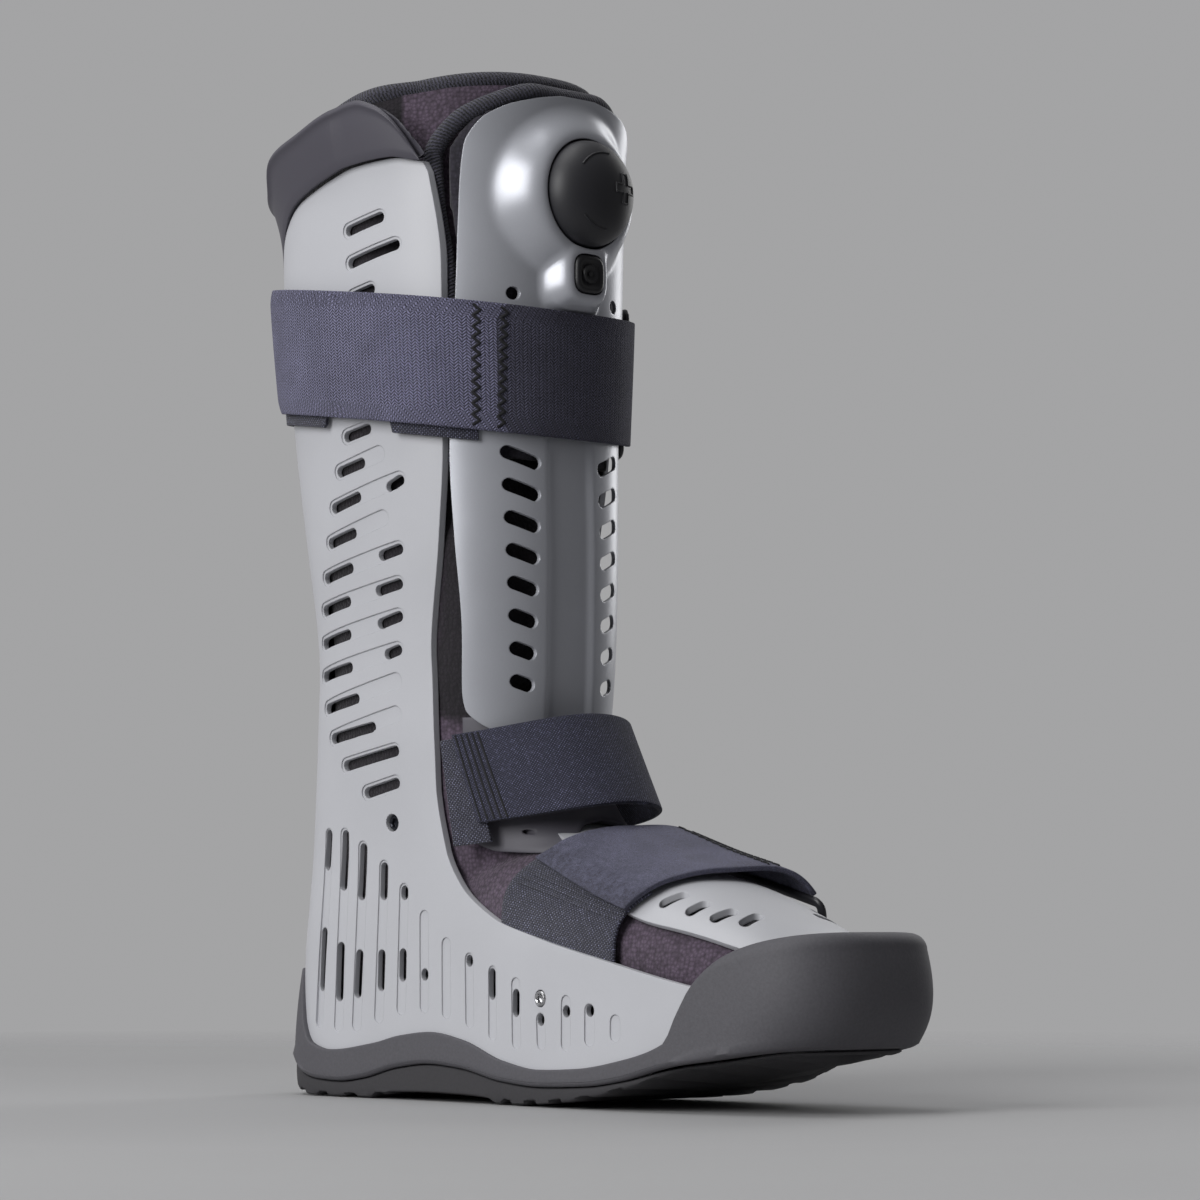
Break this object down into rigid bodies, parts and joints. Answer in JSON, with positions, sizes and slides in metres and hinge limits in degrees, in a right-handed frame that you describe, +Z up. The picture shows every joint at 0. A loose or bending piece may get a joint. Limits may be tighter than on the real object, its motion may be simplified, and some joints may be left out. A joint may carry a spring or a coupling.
{
  "type": "medical walking boot",
  "caption": "Tall walking brace boot with a slotted rear shell, padded liner, shin panel with an air bulb, rocker sole and hook-and-loop straps.",
  "frame": {"origin": "on the floor under the axis of the leg, at the underside of the tread", "axes": "+Z up along the leg, +X to the toe, +Y to the wearer's left"},
  "size_m": [0.3199, 0.135, 0.4189],
  "materials": {
    "shell": "satin moulded",
    "collar": "matte moulded",
    "sole": "matte, finely grained",
    "tread": "matte",
    "knit": "brushed knit over foam",
    "binding": "ribbed webbing",
    "panel": "satin silver-grey",
    "bulb": "satin",
    "strap": "coarse woven loop",
    "pile": "soft pile",
    "loop": "satin",
    "bolt": "black",
    "screw": "polished"
  },
  "bodies": {
    "root": {"midsole": "sole", "outsole": "tread", "rear_shell": "shell", "cuff_flare": "collar", "liner": "knit", "liner_binding": "binding", "front_pad": "knit", "front_pad_binding": "binding", "front_panel": "panel", "pump_bulb": "bulb", "valve_bezel": "bulb", "valve_button": "bulb", "ankle_flange": "collar", "foot_panel": "shell", "calf_strap": "strap", "calf_strap_base": "pile", "ankle_strap": "strap", "ankle_strap_base": "pile", "forefoot_strap": "strap", "forefoot_strap_base": "pile", "calf_loop": "loop", "ankle_loop": "loop", "forefoot_loop": "loop", "ankle_screw_right": "bolt", "ankle_screw_left": "bolt", "foot_screw_right": "screw", "foot_screw_left": "screw"}
  },
  "joints": []
}
